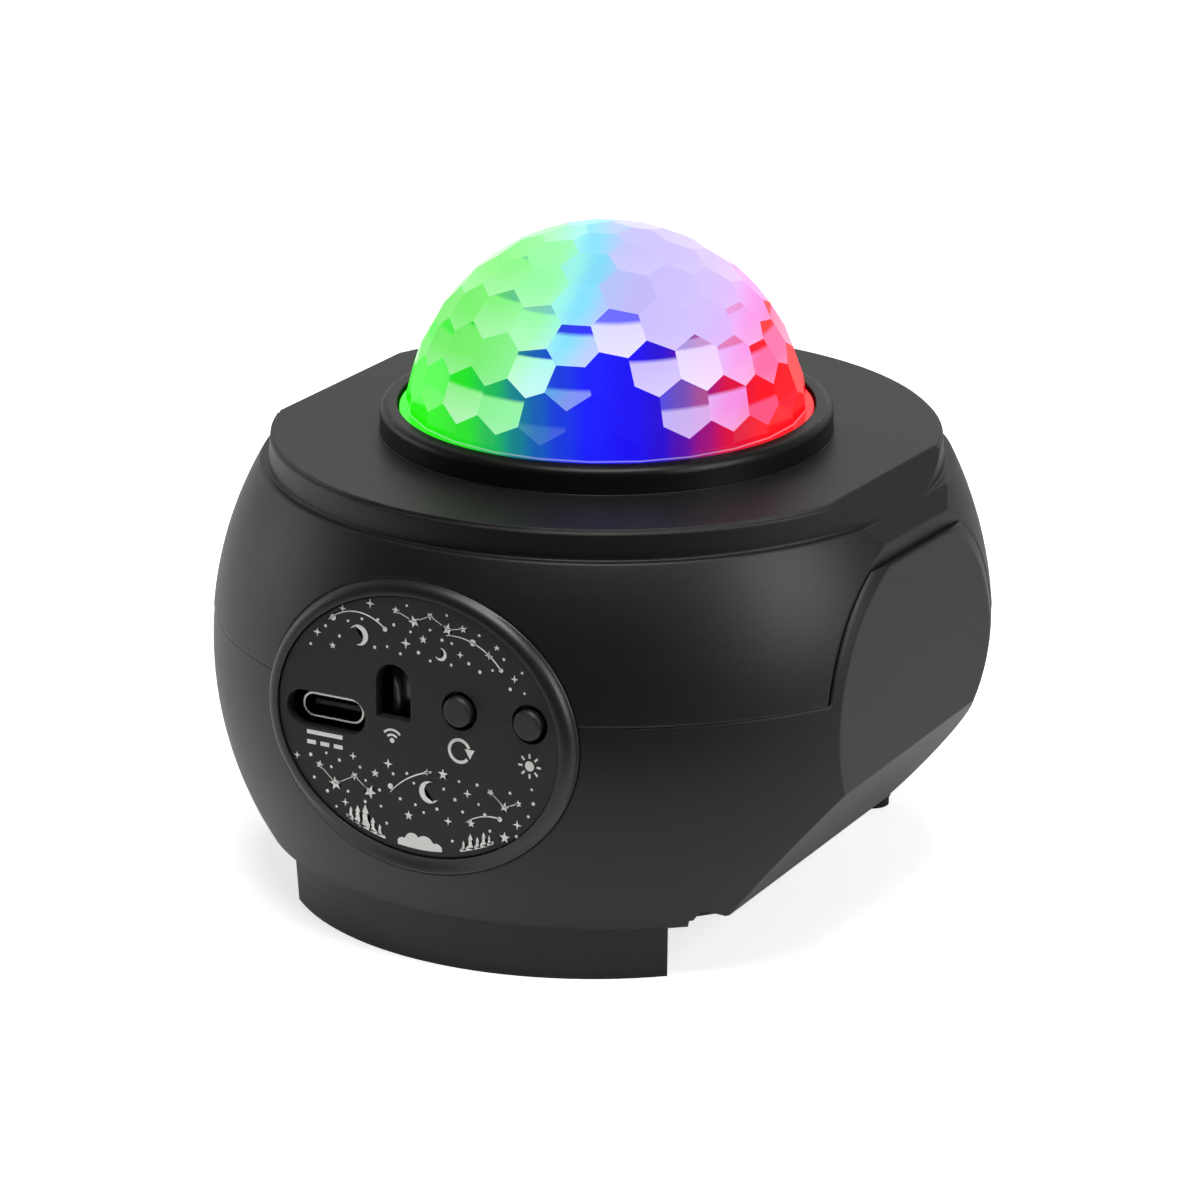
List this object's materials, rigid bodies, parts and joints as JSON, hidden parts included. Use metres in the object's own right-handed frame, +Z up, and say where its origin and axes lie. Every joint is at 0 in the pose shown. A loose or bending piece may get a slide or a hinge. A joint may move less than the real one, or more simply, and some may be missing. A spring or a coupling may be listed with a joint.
{
  "type": "star projector night light",
  "caption": "Barrel-shaped night light with a faceted crystal dome over a turning lens, flat side pads and an oval control panel with two push buttons",
  "frame": {"origin": "centre of the bounding box at the plane the lamp stands on", "axes": "+Z up through the dome, front panel faces -Y, +X to the right of someone who faces the panel"},
  "size_m": [0.091, 0.0968, 0.085],
  "materials": {
    "shell_black": "satin moulded plastic, almost black",
    "collar_black": "satin moulded plastic, almost black",
    "panel_black": "matt black plastic, printed in white",
    "button_black": "matt black plastic",
    "crystal_clear": "clear faceted plastic",
    "lens_clear": "clear faceted plastic",
    "inner_white": "white moulded plastic",
    "inner_black": "black moulded plastic",
    "screw_steel": "zinc plated screws",
    "motor_steel": "plated steel can",
    "socket_steel": "plated steel",
    "switch_steel": "switch body",
    "board_white": "white solder mask",
    "board_green": "green solder mask",
    "led_green": "moulded emitter",
    "led_blue": "moulded emitter",
    "led_red": "moulded emitter",
    "led_white": "moulded emitter",
    "receiver_dark": "dark infrared plastic",
    "foot_rubber": "soft rubber"
  },
  "bodies": {
    "housing": {"upper_shell": "shell_black", "lower_shell": "shell_black", "shell_screws": "screw_steel", "rear_feet": "foot_rubber", "dome_collar": "collar_black", "crystal_dome": "crystal_clear", "gear_motor": "motor_steel", "motor_screws": "screw_steel", "deck_plate": "inner_black", "deck_screws": "screw_steel", "led_board": "board_white", "led_green": "led_green", "led_blue": "led_blue", "led_red": "led_red", "led_white": "led_white", "reflector_cup": "inner_white", "panel_bezel": "collar_black", "front_panel": "panel_black", "usb_c_shell": "socket_steel", "usb_c_tongue": "inner_black", "ir_receiver": "receiver_dark", "motor_switch": "switch_steel", "light_switch": "switch_steel", "control_board": "board_green", "board_screws": "screw_steel"},
    "lens": {"inner_lens": "lens_clear", "lens_carrier": "inner_white", "motor_shaft": "motor_steel"},
    "motor_key": {"motor_button": "button_black", "motor_plunger": "inner_black"},
    "light_key": {"light_button": "button_black", "light_plunger": "inner_black"}
  },
  "joints": [
    {"name": "lens_spin", "type": "hinge", "parent": "housing", "child": "lens", "pos_m": [0, -0.00087, 0.05], "axis": [0, 0, 1], "continuous": true},
    {"name": "motor_button_press", "type": "slide", "parent": "housing", "child": "motor_key", "axis": [0, 1, 0], "range_m": [0, 0.0006], "stiffness_N_per_m": 500},
    {"name": "light_button_press", "type": "slide", "parent": "housing", "child": "light_key", "axis": [0, 1, 0], "range_m": [0, 0.0006], "stiffness_N_per_m": 500}
  ]
}
